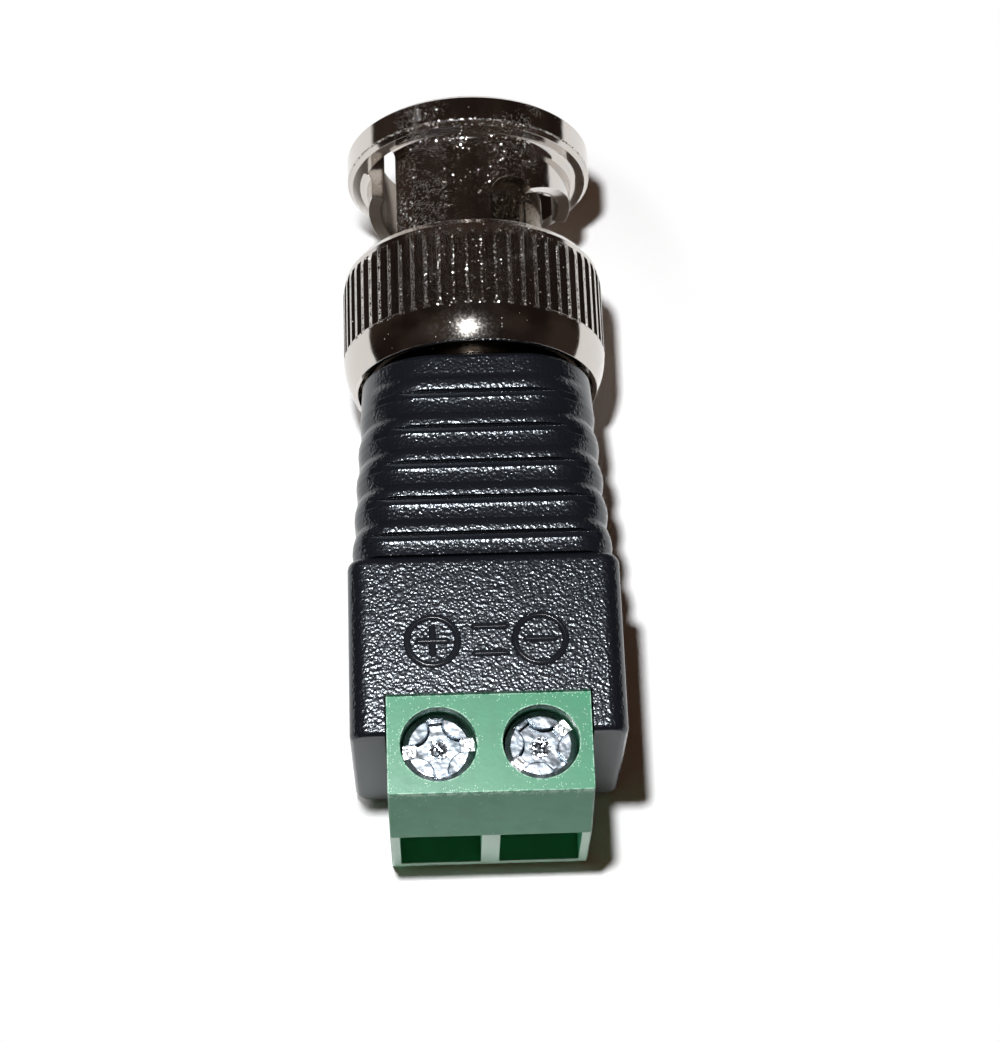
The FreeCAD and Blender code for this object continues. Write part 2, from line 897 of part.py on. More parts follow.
# Ferrite ring, windings and leads
def core_station():
    """The ring's two end faces: its winding leaves room for the bar tails behind it."""
    winding_rear = block_rear + bar_tail_length + core_lead_length()
    rear = winding_rear + winding_thickness + winding_gap
    return rear, rear + core_thickness


def core_lead_length():
    return 4 * lead_radius


def ferrite_core():
    rear, front = core_station()
    return ring(rear, front, core_bore_radius, core_radius)


def winding(middle_angle):
    """A close layer of turns round one side of the ring."""
    rear, front = core_station()
    start = middle_angle - winding_arc / 2
    stop = middle_angle + winding_arc / 2
    reach = winding_gap + winding_thickness
    outside = sector(
        start, stop, rear - reach, front + reach, core_bore_radius - reach, core_radius + reach
    )
    inside = sector(
        start - cut_margin,
        stop + cut_margin,
        rear - winding_gap,
        front + winding_gap,
        core_bore_radius - winding_gap,
        core_radius + winding_gap,
    )
    return outside.cut(inside)


def terminal_lead(x):
    """A short wire from a bar's tail to the winding behind it."""
    rear, front = core_station()
    start = block_rear + bar_tail_length
    stop = rear - winding_gap - winding_thickness
    height = (bar_top + bar_bottom) / 2
    return Part.makeCylinder(lead_radius, stop - start, Vector(x, start, height), Y_AXIS)


def signal_lead():
    """The wire from the pin's solder cup to the winding on the screw side."""
    rear, front = core_station()
    cup_front = contact_seat - insulator_rear_length - free_clearance
    start = Vector(0, cup_front - solder_cup_length + solder_cup_depth - free_clearance, 0)
    stop_y = front + winding_gap + winding_thickness + free_clearance
    stop = Vector(0, stop_y, (core_radius + core_bore_radius) / 2)
    return Part.makeCylinder(lead_radius, (stop - start).Length, start, stop - start)


def ground_lead():
    """The straight wire from the body's tail to the winding on the screw side."""
    rear, front = core_station()
    stop = front + winding_gap + winding_thickness
    place = (insulator_bore + core_radius) / 2
    lead = Part.makeCylinder(lead_radius, tail_rear - stop, Vector(0, stop, place), Y_AXIS)
    return turned_about_plug(lead, -60)


save("coupling_nut", coupling_nut())
save("retaining_ring", retaining_ring())
save("thrust_washer", thrust_washer())
save("wave_washer", wave_washer())
save("plug_body", plug_body())
save("outer_contact", outer_contact())
save("insulator", insulator())
save("centre_pin", centre_pin())
save("sealing_gasket", sealing_gasket())
save("housing", housing())
save("terminal_block", terminal_block())
for (side_name, side_x), slot_angle in zip(pole_sides(), (left_slot_turn, right_slot_turn)):
    save("clamp_cage_" + side_name, clamp_cage(side_x))
    save("contact_bar_" + side_name, contact_bar(side_x))
    save("terminal_screw_" + side_name, terminal_screw(side_x, slot_angle))
    save(side_name + "_lead", terminal_lead(side_x))
save("ferrite_core", ferrite_core())
save("plug_winding", winding(0))
save("terminal_winding", winding(180))
save("signal_lead", signal_lead())
save("ground_lead", ground_lead())
print(f"clamp travel {clamp_travel:.3f}")
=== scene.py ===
import math

import bpy
from mathutils import Matrix, Vector


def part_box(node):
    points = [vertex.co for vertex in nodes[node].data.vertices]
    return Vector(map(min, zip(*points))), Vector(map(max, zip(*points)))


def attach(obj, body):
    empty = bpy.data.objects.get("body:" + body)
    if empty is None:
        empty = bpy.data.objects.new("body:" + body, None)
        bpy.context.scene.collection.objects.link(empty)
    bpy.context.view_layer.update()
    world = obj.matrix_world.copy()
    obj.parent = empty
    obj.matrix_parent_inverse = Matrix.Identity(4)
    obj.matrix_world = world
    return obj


bl_info = {
    "name": "Coaxial plug to screw terminal adapter",
    "version": (1, 0, 0),
    "blender": (4, 5, 0),
    "location": "3D View > Sidebar > Adapter",
    "description": "Finishes, pole marks and stage of a plug to screw terminal adapter",
    "category": "Object",
}

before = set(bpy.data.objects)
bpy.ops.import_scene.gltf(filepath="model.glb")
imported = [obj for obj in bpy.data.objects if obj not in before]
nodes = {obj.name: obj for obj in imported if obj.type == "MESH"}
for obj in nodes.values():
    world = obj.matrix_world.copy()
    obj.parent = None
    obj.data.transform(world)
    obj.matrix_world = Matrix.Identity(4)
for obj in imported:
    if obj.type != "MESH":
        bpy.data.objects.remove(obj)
MM = 0.001
BLOCK_LOW, BLOCK_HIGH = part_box("terminal_block")
HOUSING_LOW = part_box("housing")[0]

# Coupling nut
NUT_BORE = 4.90 * MM
KNURL_RADIUS = 7.12 * MM
FLUTE_COUNT = 60
FLUTE_REAR = -3.05 * MM
FLUTE_FRONT = 0.95 * MM
KNURL_FACE = 2.05 * MM
RIM_CHAMFER = 8.20 * MM
EDGE_WEAR = 0.05 * MM
# Housing, and the bars between its pole signs
HOUSING_TOP = 5.36 * MM
BOX_FRONT = -16.53 * MM
RIB_CROWN = -7.57 * MM
RIB_PITCH = 2.0 * MM
SLOT_OUTER = 0.24 * MM
SLOT_INNER = 0.19 * MM
SWELL_HEIGHT = 0.095 * MM
SWELL_SHIFT = math.pi + 0.31
BAR_SHIFT = 0.2 * MM
# Terminal block and screws
POLE_PITCH = 5.08 * MM
BLOCK_EDGE = -29.11 * MM
WALL_TOP = 0.60 * MM
WELL_RADIUS = 1.915 * MM
LOBE_OFFSET = 1.2445 * MM
LOBE_RADIUS = 0.91 * MM
SLOT_TURNS = {"plus": 6.0, "minus": 39.0}
# Floor and camera
FLOOR_REACH = 70 * MM
FLOOR_CORNERS = 96
FLOOR_MIDDLE = (2.7 * MM, -11.5 * MM)
FLOOR_HALF_LENGTH = 17.5 * MM
SHADOW_FROM, SHADOW_TO = 8.5 * MM, 11 * MM
LAMP_AIM_Y = -10 * MM
CAMERA_PLACE = (-2.811 * MM, -66.525 * MM, 126.210 * MM)
CAMERA_RIGHT = (0.99927, -0.03476, 0.01581)
CAMERA_UP = (0.02574, 0.91890, 0.39366)
CAMERA_BACK = (-0.02821, -0.39297, 0.91912)
# Repeats of each texture in a metre
SMUDGES = 420.0
DUST = 5200.0
FACET_PATCHES = 300.0
FACETS = 13000.0
FACET_CHOICE = 9000.0
WORN_FACETS = 12000.0
WORN_FLECKS = 8000.0
PLATE_WAVES = 650.0
STEEL_GRAIN = 2600.0
FINE_GRAIN = 9000.0
BLOCK_MOTTLE = 900.0
BLOCK_SPECKS = 9000.0
# Breaks in the painted highlight along the block's top edges
EDGE_HIGHLIGHT_BREAKS = 3000.0
BLOCK_RIPPLES = 5200.0
ZINC_SCUFFS = 3000.0
ZINC_WAVES = 1100.0
ZINC_PATCHES = 1500.0
ZINC_GRIT = 5200.0
ZINC_FACETS = 9000.0
TIN_GRAIN = 2400.0
WIRE_RIDGES = 900.0
# Colours that aren't in the panel
WHITE = (1.0, 1.0, 1.0)
SMUDGE_BLUE = (0.50, 0.56, 0.66)
DUST_WHITE = (0.9, 0.88, 0.86)
BORE_BROWN = (0.20, 0.15, 0.11)
STEEL = (0.55, 0.54, 0.52)
PIN_GOLD = (0.83, 0.62, 0.25)
END_GREY = (0.120, 0.122, 0.125)
HOUSING_SHEEN = (0.86, 0.93, 1.0, 1.0)
RUBBER = (0.02, 0.02, 0.02)
INSULATOR_WHITE = (0.82, 0.82, 0.80)
SPECK_GREEN = (0.52, 0.78, 0.62)
# Painted reflection of the white floor on the block's lower fronts
FLOOR_REFLECTION_GREEN = (0.42, 0.58, 0.48)
SCREW_SHADE = (0.16, 0.20, 0.23)
SCREW_PIT = (0.06, 0.06, 0.06)
# Painted shade round the screws' lobes
SCREW_EDGE_SHADE = (0.05, 0.07, 0.09)
# Painted highlight on the screws' slot ends
SCREW_SLOT_HIGHLIGHT = (0.90, 0.92, 0.94)
TIN = (0.66, 0.64, 0.59)
FERRITE = (0.05, 0.05, 0.055)
ENAMEL = (0.42, 0.14, 0.05)
LAMP_WHITE = (0.98, 0.99, 1.0)


# Shader building
class Value:
    """A number or colour that varies over a surface. Python's operators add Math nodes."""

    def __init__(self, tree, socket):
        self.tree = tree
        self.socket = socket

    def _maths(self, operation, *others):
        result = self.tree.node("ShaderNodeMath", {"operation": operation}, (self, *others))
        return Value(self.tree, result.outputs[0])

    def __add__(self, other):
        return self._maths("ADD", other)

    __radd__ = __add__

    def __mul__(self, other):
        return self._maths("MULTIPLY", other)

    __rmul__ = __mul__

    def __sub__(self, other):
        return self._maths("SUBTRACT", other)

    def __rsub__(self, other):
        return (self * -1.0) + other

    def __truediv__(self, other):
        return self._maths("DIVIDE", other)

    def __neg__(self):
        return self * -1.0

    def __gt__(self, other):
        return self._maths("GREATER_THAN", other)

    def __lt__(self, other):
        return self._maths("LESS_THAN", other)

    def size(self):
        return self._maths("ABSOLUTE")

    def root(self):
        return self._maths("SQRT")

    def fraction(self):
        return self._maths("FRACT")

    def sine(self):
        return self._maths("SINE")

    def turn_from(self, other):
        """The angle whose tangent is this over the other."""
        return self._maths("ARCTAN2", other)

    def least(self, other):
        return self._maths("MINIMUM", other)

    def most(self, other):
        return self._maths("MAXIMUM", other)

    def step(self, low, high):
        """0 at low, 1 at high, eased between them; low may be the larger."""
        if low > high:
            return 1.0 - self.step(high, low)
        settings = {"interpolation_type": "SMOOTHSTEP"}
        eased = self.tree.node("ShaderNodeMapRange", settings, (self, low, high))
        return Value(self.tree, eased.outputs[0])


class Finish:
    """A material's node tree, with one way to add any node."""

    def __init__(self, name):
        self.material = bpy.data.materials.new(name)
        self.material.use_nodes = True
        self.tree = self.material.node_tree
        self.tree.nodes.clear()
        self.locate()

    @classmethod
    def on(cls, tree):
        """The same ways to add nodes, on a tree that is no material's."""
        finish = cls.__new__(cls)
        finish.tree = tree
        tree.nodes.clear()
        return finish

    def locate(self):
        coordinates = self.node("ShaderNodeTexCoord")
        self.place = Value(self, coordinates.outputs["Object"])
        split = self.node("ShaderNodeSeparateXYZ", {}, (self.place,))
        self.x, self.y, self.z = (Value(self, split.outputs[axis]) for axis in range(3))

    def node(self, kind, settings=None, inputs=()):
        added = self.tree.nodes.new(kind)
        for name, value in (settings or {}).items():
            setattr(added, name, value)
        pairs = inputs.items() if isinstance(inputs, dict) else enumerate(inputs)
        for key, value in pairs:
            socket = added.inputs[key]
            if isinstance(value, Value):
                self.tree.links.new(value.socket, socket)
            elif isinstance(value, bpy.types.NodeSocket):
                self.tree.links.new(value, socket)
            elif value is not None:
                socket.default_value = value
        return added

    def noise(self, scale, detail=2.0, roughness=0.5, place=None):
        inputs = {"Vector": place or self.place, "Scale": scale}
        inputs.update({"Detail": detail, "Roughness": roughness})
        return Value(self, self.node("ShaderNodeTexNoise", {}, inputs).outputs[0])

    def cells(self, scale, feature="F1", output="Distance"):
        inputs = {"Vector": self.place, "Scale": scale}
        added = self.node("ShaderNodeTexVoronoi", {"feature": feature}, inputs)
        return Value(self, added.outputs[output])

    def cell_chance(self, scale):
        """An even random number for each cell, for specks of different strength."""
        colour = self.cells(scale, output="Color")
        split = self.node("ShaderNodeSeparateColor", {}, (colour,))
        return Value(self, split.outputs[0])

    def facing(self):
        """The surface's own direction as three numbers."""
        geometry = self.node("ShaderNodeNewGeometry")
        split = self.node("ShaderNodeSeparateXYZ", {}, (geometry.outputs["Normal"],))
        return [Value(self, split.outputs[axis]) for axis in range(3)]

    def blend(self, share, first, second):
        """The first colour where share is 0, the second where it is 1."""
        inputs = {"Factor": share, "A": first, "B": second}
        added = self.tree.nodes.new("ShaderNodeMix")
        added.data_type = "RGBA"
        colour_inputs = {s.name: s for s in added.inputs if s.enabled}
        for name, value in inputs.items():
            socket = colour_inputs[name]
            if isinstance(value, Value):
                self.tree.links.new(value.socket, socket)
            else:
                socket.default_value = value if name == "Factor" else (*value[:3], 1.0)
        output = next(s for s in added.outputs if s.enabled)
        return Value(self, output)

    def facets(self, scale, tilt):
        """Height in metres of small flat facets, each tilted its own way."""
        cell = self.node("ShaderNodeTexVoronoi", {}, {"Vector": self.place, "Scale": scale}).outputs
        less = {"operation": "SUBTRACT"}
        product = {"operation": "DOT_PRODUCT"}
        inside = self.node("ShaderNodeVectorMath", less, (self.place, cell["Position"])).outputs[0]
        lean = self.node("ShaderNodeVectorMath", less, (cell["Color"], (0.5, 0.5, 0.5))).outputs[0]
        rise = self.node("ShaderNodeVectorMath", product, (inside, lean)).outputs["Value"]
        return Value(self, rise) * (2.0 * tilt)

    def bump(self, height, edge=0.0):
        """The normal over a height in metres, with sharp edges shaded as if rounded."""
        inputs = {"Strength": 1.0, "Distance": 1.0, "Height": height}
        if edge:
            inputs["Normal"] = self.node("ShaderNodeBevel", {"samples": 4}, {"Radius": edge}).outputs[0]
        return Value(self, self.node("ShaderNodeBump", {}, inputs).outputs[0])

    def surface(self, **sockets):
        """Ends the tree in one Principled shader; names use an underscore for a space."""
        inputs = {name.replace("_", " "): value for name, value in sockets.items()}
        for name in ("Base Color", "Emission Color"):
            if name in inputs and not isinstance(inputs[name], Value):
                inputs[name] = (*inputs[name][:3], 1.0)
        shader = self.node("ShaderNodeBsdfPrincipled", {}, inputs)
        self.node("ShaderNodeOutputMaterial", {}, (shader.outputs[0],))
        return self.material


def wear(node, material):
    """Gives one material to all of a CAD node's slots."""
    part = nodes[node]
    if not part.material_slots:
        part.data.materials.append(material)
    for slot in part.material_slots:
        slot.material = material


# Sizes and colours
def colour(name, default, description):
    return bpy.props.FloatVectorProperty(
        name=name, description=description, subtype="COLOR", size=3, min=0.0, max=1.0, default=default
    )


def length(name, default, description):
    return bpy.props.FloatProperty(
        name=name, description=description, subtype="DISTANCE", unit="LENGTH", default=default
    )


def share(name, default, description):
    return bpy.props.FloatProperty(
        name=name, description=description, subtype="FACTOR", min=0.0, max=1.0, default=default
    )


class AdapterFinishes(bpy.types.PropertyGroup):
    plate: colour("Plate", (0.64, 0.60, 0.56), "Nickel plate on the nut and the contacts")
    # Painted shade: this plate colour is darkened to stand in for the shade deep inside the nut, where
    # the contact and plug body sit.
    shaded_inner_plate: colour("Inner plate", (0.16, 0.13, 0.10), "Duller plate on the contact and plug body")
    plate_roughness: share("Plate roughness", 0.09, "How dull the nickel plate is")
    edge: length("Edge", 0.05 * MM, "Radius that sharp metal and block edges are shaded with")
    plastic: colour("Housing", (0.006, 0.007, 0.010), "Black moulding compound")
    grain: length("Grain", 0.15 * MM, "Size of the grain on the housing's top and bottom")
    grain_depth: length("Grain depth", 0.034 * MM, "Depth of that grain")
    block: colour("Block", (0.036, 0.240, 0.122), "Green moulding compound")
    zinc: colour("Zinc", (0.37, 0.40, 0.44), "Zinc plate on screws and cages")


class AdapterMarks(bpy.types.PropertyGroup):
    ring_radius: length("Ring radius", 1.27 * MM, "Middle of the ring round each pole sign")
    spacing: length("Spacing", 5.41 * MM, "Distance between the two rings")
    station: length("Station", -21.28 * MM, "Place of the signs along the plug's axis")
    arm: length("Arm", 1.40 * MM, "Length of the plus and minus strokes")
    bar: length("Bar", 1.55 * MM, "Length of the two bars between the rings")
    bar_spacing: length("Bar spacing", 1.42 * MM, "Distance between the two bars")
    ridge: length("Ridge", 0.085 * MM, "Width of the raised line")
    rise: length("Rise", 0.022 * MM, "Height of the raised line above the face")
    moat: length("Moat", 0.31 * MM, "Width of the smooth band round each line")


class AdapterStage(bpy.types.PropertyGroup):
    floor: colour("Floor", WHITE, "Colour of the floor")
    lens: bpy.props.FloatProperty(name="Lens", description="Focal length in mm", default=92.83)
    key: bpy.props.FloatProperty(
        name="Key", description="Light on the floor from the lamp", default=1.15
    )
    key_size: length("Key size", 7 * MM, "Diameter of the lamp")
    key_place: bpy.props.FloatVectorProperty(
        name="Key place",
        description="Where the lamp stands",
        subtype="TRANSLATION",
        unit="LENGTH",
        default=(-9 * MM, -20 * MM, 92 * MM),
    )
    glow: colour("Glow", (0.042, 0.022, 0.012), "Warm light of the room in the shadows")
    room: colour("Room", (0.014, 0.0095, 0.0075), "Colour of the room above the adapter")


# Nickel plate
def knurl_wear(finish, radius):
    """1 on the lands between the flutes, on their rear ends and on the turned edges, 0 elsewhere."""
    turns = finish.x.turn_from(finish.z) * (FLUTE_COUNT / math.tau) + FLUTE_COUNT
    from_land = (turns.fraction() - 0.5).size()
    along = (finish.y > FLUTE_REAR) * (finish.y < FLUTE_FRONT)
    ends = (finish.y - FLUTE_REAR + 0.04 * MM).size() < 0.07 * MM
    outside = radius > KNURL_RADIUS - 0.14 * MM
    lands = from_land.step(0.15, 0.07) * along + (from_land < 0.25) * ends
    rim = ((finish.y - RIM_CHAMFER).size() < EDGE_WEAR) * (radius > KNURL_RADIUS - 0.5 * MM)
    face = ((finish.y - KNURL_FACE).size() < EDGE_WEAR) * (radius > KNURL_RADIUS - 0.9 * MM)
    return (lands * outside + rim + face).least(1.0)


def plated(name, tint, roughness, sparkle, edge, bore=0.0, knurled=False):
    """Nickel plate with smudges and dust, tiny facets on its upward side and a dull bore."""
    finish = Finish(name)
    up = finish.facing()[2]
    radius = (finish.x * finish.x + finish.z * finish.z).root()
    inside = radius < bore
    smudge = finish.noise(SMUDGES, 4.0, 0.6).step(0.50, 0.72)
    dust = (finish.cells(DUST) < 0.13) * (finish.cell_chance(DUST) > 0.96)
    patches = finish.noise(FACET_PATCHES, 3.0, 0.6).step(0.38, 0.62)
    chosen = finish.cell_chance(FACET_CHOICE) > 0.60
    central = finish.x.size().step(4.4 * MM, 2.6 * MM) * up.size().step(0.35, 0.65)
    tilt = ((finish.y > KNURL_FACE) * 1.3 + 1.0) * (finish.y > FLUTE_REAR + 0.1 * MM)
    worn = knurl_wear(finish, radius) if knurled else 0.0
    fleck = finish.noise(WORN_FLECKS, 2.0, 0.6).step(0.45, 0.62)
    pitted = patches * central * chosen
    height = finish.facets(FACETS, sparkle) * pitted * tilt
    height = height + finish.facets(WORN_FACETS, 0.3) * worn
    height = height + finish.noise(PLATE_WAVES, 2.0, 0.5) * (0.012 * MM)
    base = finish.blend(dust, tint, DUST_WHITE)
    base = finish.blend(smudge * 0.25, base, SMUDGE_BLUE)
    base = finish.blend(inside * 0.8, base, BORE_BROWN)
    dulled = smudge * 0.06 + dust * 0.35 + inside * 0.15 + worn * fleck * 0.18 + pitted * 0.03
    return finish.surface(
        Base_Color=base,
        Metallic=1.0 - dust * 0.5,
        Roughness=dulled + roughness,
        Normal=finish.bump(height, edge),
    )


class ADAPTER_OT_plated_parts(bpy.types.Operator):
    """Plate the nut, the plug body, the contacts and the rings that hold the nut"""

    bl_idname = "adapter.plated_parts"
    bl_label = "Plated parts"

    def execute(self, context):
        finishes = context.scene.adapter_finishes
        tint = tuple(finishes.plate)
        bore = NUT_BORE + 0.1 * MM
        nickel = plated("nickel_plate", tint, finishes.plate_roughness, 0.28, finishes.edge, bore, True)
        # Painted shade: the contact, plug body and retaining ring get the darkened inner plate colour,
        # which stands in for the shade inside the nut. Its doubled roughness also makes it duller.
        dull = tuple(finishes.shaded_inner_plate)
        inner = plated("shaded_inner_plate", dull, finishes.plate_roughness * 2.0, 0.2, finishes.edge)
        wear("coupling_nut", nickel)
        for node in ("plug_body", "outer_contact", "retaining_ring"):
            wear(node, inner)
        steel = Finish("washer_steel")
        grain = steel.noise(STEEL_GRAIN, 3.0, 0.6)
        steel_plate = steel.surface(Base_Color=STEEL, Metallic=1.0, Roughness=grain * 0.25 + 0.22)
        wear("thrust_washer", steel_plate)
        wear("wave_washer", steel_plate)
        pin = Finish("pin_plate")
        wear("centre_pin", pin.surface(Base_Color=PIN_GOLD, Metallic=1.0, Roughness=0.2))
        return {"FINISHED"}


# Black housing
def mark_strokes(marks):
    """Every straight stroke of the signs as (x, y, length, turned across)."""
    plus_x = -marks.spacing / 2
    minus_x = marks.spacing / 2
    return [
        (plus_x, marks.station, marks.arm, False),
        (plus_x, marks.station, marks.arm, True),
        (minus_x, marks.station, marks.arm, False),
        (BAR_SHIFT, marks.station + marks.bar_spacing / 2, marks.bar, False),
        (BAR_SHIFT, marks.station - marks.bar_spacing / 2, marks.bar, False),
    ]


def mark_moats(finish, marks):
    """1 in the smooth band round each line of the signs, 0 elsewhere."""
    nearest = None
    for x in (-marks.spacing / 2, marks.spacing / 2):
        along = finish.x - x
        across = finish.y - marks.station
        away = ((along * along + across * across).root() - marks.ring_radius).size()
        nearest = away if nearest is None else nearest.least(away)
    for x, y, stroke, upright in mark_strokes(marks):
        along = (finish.x - x).size()
        across = (finish.y - y).size()
        if upright:
            along, across = across, along
        beyond = (along - stroke / 2).most(0.0)
        away = (beyond * beyond + across * across).root()
        nearest = nearest.least(away)
    on_top = finish.z > HOUSING_TOP - 0.1 * MM
    return nearest.step(marks.moat * 0.58, marks.moat * 0.42) * on_top


class ADAPTER_OT_housing(bpy.types.Operator):
    """Black moulding: leather grain above and below, smooth sides, a dull face behind the block"""

    bl_idname = "adapter.housing"
    bl_label = "Housing"

    def execute(self, context):
        finishes = context.scene.adapter_finishes
        marks = context.scene.adapter_marks
        finish = Finish("housing_plastic")
        along, up = finish.facing()[1:]
        moat = mark_moats(finish, marks)
        level = up.size().step(0.45, 0.75)
        end_face = (-along).step(0.7, 0.9) * (finish.y < HOUSING_LOW.y + 0.5 * MM)
        scale = 1.0 / finishes.grain
        grain = finish.cells(scale, "SMOOTH_F1") * 0.9 + finish.noise(scale * 0.8, 2.0, 0.6) * 0.8
        fine = finish.noise(FINE_GRAIN, 2.0, 0.6)
        grained = level * (1.0 - moat)
        before_collar = finish.y.step(RIB_CROWN + 0.65 * RIB_PITCH, RIB_CROWN + 0.4 * RIB_PITCH)
        neck = (finish.y > BOX_FRONT) * before_collar * level
        # a slot crosses each rib's crown, and the waves either side of it catch the lamp
        turns = (finish.y - RIB_CROWN) / RIB_PITCH + 10.5
        from_slot = (turns.fraction() - 0.5).size() * RIB_PITCH
        slot = from_slot.step(SLOT_OUTER, SLOT_INNER) * neck
        swell = (turns * math.tau - SWELL_SHIFT).sine()
        wave = swell * neck * (1.0 - slot) * SWELL_HEIGHT
        height = grain * grained * (1.0 - slot) + fine * 0.10 - moat * 1.2
        base = finish.blend(end_face, tuple(finishes.plastic), END_GREY)
        roughness = 0.24 + end_face * 0.30 - moat.most(slot) * 0.10
        material = finish.surface(
            Base_Color=base,
            Roughness=roughness,
            Specular_IOR_Level=0.75,
            Specular_Tint=HOUSING_SHEEN,
            Normal=finish.bump(height * finishes.grain_depth + wave),
        )
        wear("housing", material)
        gasket = Finish("gasket_rubber")
        wear("sealing_gasket", gasket.surface(Base_Color=RUBBER, Roughness=0.7))
        insulator = Finish("insulator_plastic")
        wear("insulator", insulator.surface(Base_Color=INSULATOR_WHITE, Roughness=0.4))
        return {"FINISHED"}


# Green block
class ADAPTER_OT_terminal_block(bpy.types.Operator):
    """Green moulding with fine pale specks along its edges, painted light in its wire entries, a
    painted highlight along the top's edges and a painted floor reflection on its walls' fronts
    """

    bl_idname = "adapter.terminal_block"
    bl_label = "Terminal block"

    def execute(self, context):
        finishes = context.scene.adapter_finishes
        finish = Finish("block_plastic")
        mottle = finish.noise(BLOCK_MOTTLE, 3.0, 0.6).step(0.35, 0.75)
        beside = finish.x.size() - POLE_PITCH / 2
        screw_low, screw_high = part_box("terminal_screw_plus")
        ahead = finish.y - (screw_low.y / 2 + screw_high.y / 2)
        rim = ((beside * beside + ahead * ahead).root() - WELL_RADIUS).size()
        near = rim.least(BLOCK_HIGH.x - finish.x.size()).least((finish.y - BLOCK_EDGE).size())
        near = near.least(BLOCK_HIGH.y - finish.y)
        on_top = finish.z > BLOCK_HIGH.z - 0.5 * MM
        likely = near.step(0.50 * MM, 0.08 * MM) * on_top * 0.62
        chance = finish.cell_chance(BLOCK_SPECKS) + likely
        specks = (finish.cells(BLOCK_SPECKS) < 0.24) * (chance > 0.985)
        # Painted highlight: a pale line, broken by noise, along the top's edges and the wells' rims
        # stands in for light caught on these edges.
        highlight_breaks = finish.noise(EDGE_HIGHLIGHT_BREAKS, 2.0, 0.6).step(0.40, 0.55)
        painted_edge_highlight = near.step(0.08 * MM, 0.03 * MM) * on_top * highlight_breaks
        # Painted reflection: the front faces of the lower walls are painted a pale greyish green that
        # stands in for the white floor they reflect.
        reflecting_fronts = (finish.z < WALL_TOP) * (finish.y < BLOCK_LOW.y + 0.05 * MM)
        green = tuple(finishes.block)
        deeper = tuple(channel * 0.86 for channel in green)
        # Painted light: a lighter copy of the green for the wire entries.
        painted_light_green = tuple(min(1.0, channel * 2.1) for channel in green)
        base = finish.blend(mottle, green, deeper)
        base = finish.blend(specks * 0.75, base, SPECK_GREEN)
        # Painted light: below the walls' top and inside the side walls, where the wire entries are, the
        # green is made lighter to stand in for light reaching into the openings.
        lit_entry = (finish.z < WALL_TOP) * (finish.x.size() < BLOCK_HIGH.x - 0.1 * MM)
        base = finish.blend(lit_entry, base, painted_light_green)
        # Painted highlight on the top's edges and the wells' rims.
        base = finish.blend(painted_edge_highlight * 0.45, base, SPECK_GREEN)
        base = finish.blend(reflecting_fronts * 0.9, base, FLOOR_REFLECTION_GREEN)
        ripple = finish.noise(BLOCK_RIPPLES, 2.0, 0.5) * (0.003 * MM)
        material = finish.surface(
            Base_Color=base,
            Roughness=0.34 + mottle * 0.06,
            Specular_IOR_Level=0.4,
            Normal=finish.bump(ripple, finishes.edge),
        )
        wear("terminal_block", material)
        return {"FINISHED"}


# Screws, cages and bars
def zinc_plated(name, zinc):
    """Plain zinc plate, a little wavy."""
    finish = Finish(name)
    scuff = finish.noise(ZINC_SCUFFS, 3.0, 0.6)
    wave = finish.noise(ZINC_WAVES, 2.0, 0.5) * (0.05 * MM)
    return finish.surface(
        Base_Color=zinc, Metallic=1.0, Roughness=scuff * 0.10 + 0.20, Normal=finish.bump(wave)
    )


def screw_zinc(side, zinc, edge):
    """Zinc on one screw: a painted highlight on the slot ends, painted shade round the lobes' edges, a
    pitted middle.
    """
    finish = Finish("zinc_" + side)
    low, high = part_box("terminal_screw_" + side)
    turn = math.radians(SLOT_TURNS[side])
    x = finish.x - (low.x + high.x) / 2
    y = finish.y - (low.y + high.y) / 2
    along = (x * math.cos(turn) + y * math.sin(turn)).size()
    across = (y * math.cos(turn) - x * math.sin(turn)).size()
    radius = (x * x + y * y).root()
    lobe_x = along - LOBE_OFFSET
    lobe_y = across - LOBE_OFFSET
    from_lobe = (lobe_x * lobe_x + lobe_y * lobe_y).root() - LOBE_RADIUS
    on_top = finish.z > high.z - 0.60 * MM
    # Painted shade: a dark line round the edge of each lobe stands in for the shade where the lobes
    # meet the slots.
    lobe_edge_shade = from_lobe.size().step(0.09 * MM, 0.03 * MM) * (radius < 1.55 * MM) * on_top
    slot_end = (along > 1.15 * MM) * (across < 0.36 * MM) * on_top
    middle = radius.step(0.65 * MM, 0.25 * MM) * on_top
    patch = finish.noise(ZINC_PATCHES, 3.0, 0.6).step(0.38, 0.66)
    scuff = finish.noise(ZINC_SCUFFS, 3.0, 0.6)
    grit = finish.noise(ZINC_GRIT, 2.0, 0.6).step(0.40, 0.58)
    base = finish.blend(patch * 0.8, zinc, SCREW_SHADE)
    base = finish.blend(middle * grit * 0.60, base, SCREW_PIT)
    base = finish.blend(lobe_edge_shade * 0.95, base, SCREW_EDGE_SHADE)
    # Painted highlight: the slot ends are painted near white, which stands in for the lamp's reflection
    # in their flat floors.
    base = finish.blend(slot_end, base, SCREW_SLOT_HIGHLIGHT)
    height = finish.noise(ZINC_WAVES, 2.0, 0.5) * (0.06 * MM) + scuff * (0.006 * MM)
    height = height + finish.facets(ZINC_FACETS, 0.25) * (slot_end + middle)
    return finish.surface(
        Base_Color=base,
        Metallic=1.0,
        Roughness=scuff * 0.10 + slot_end * 0.16 + 0.18,
        Normal=finish.bump(height, edge),
    )


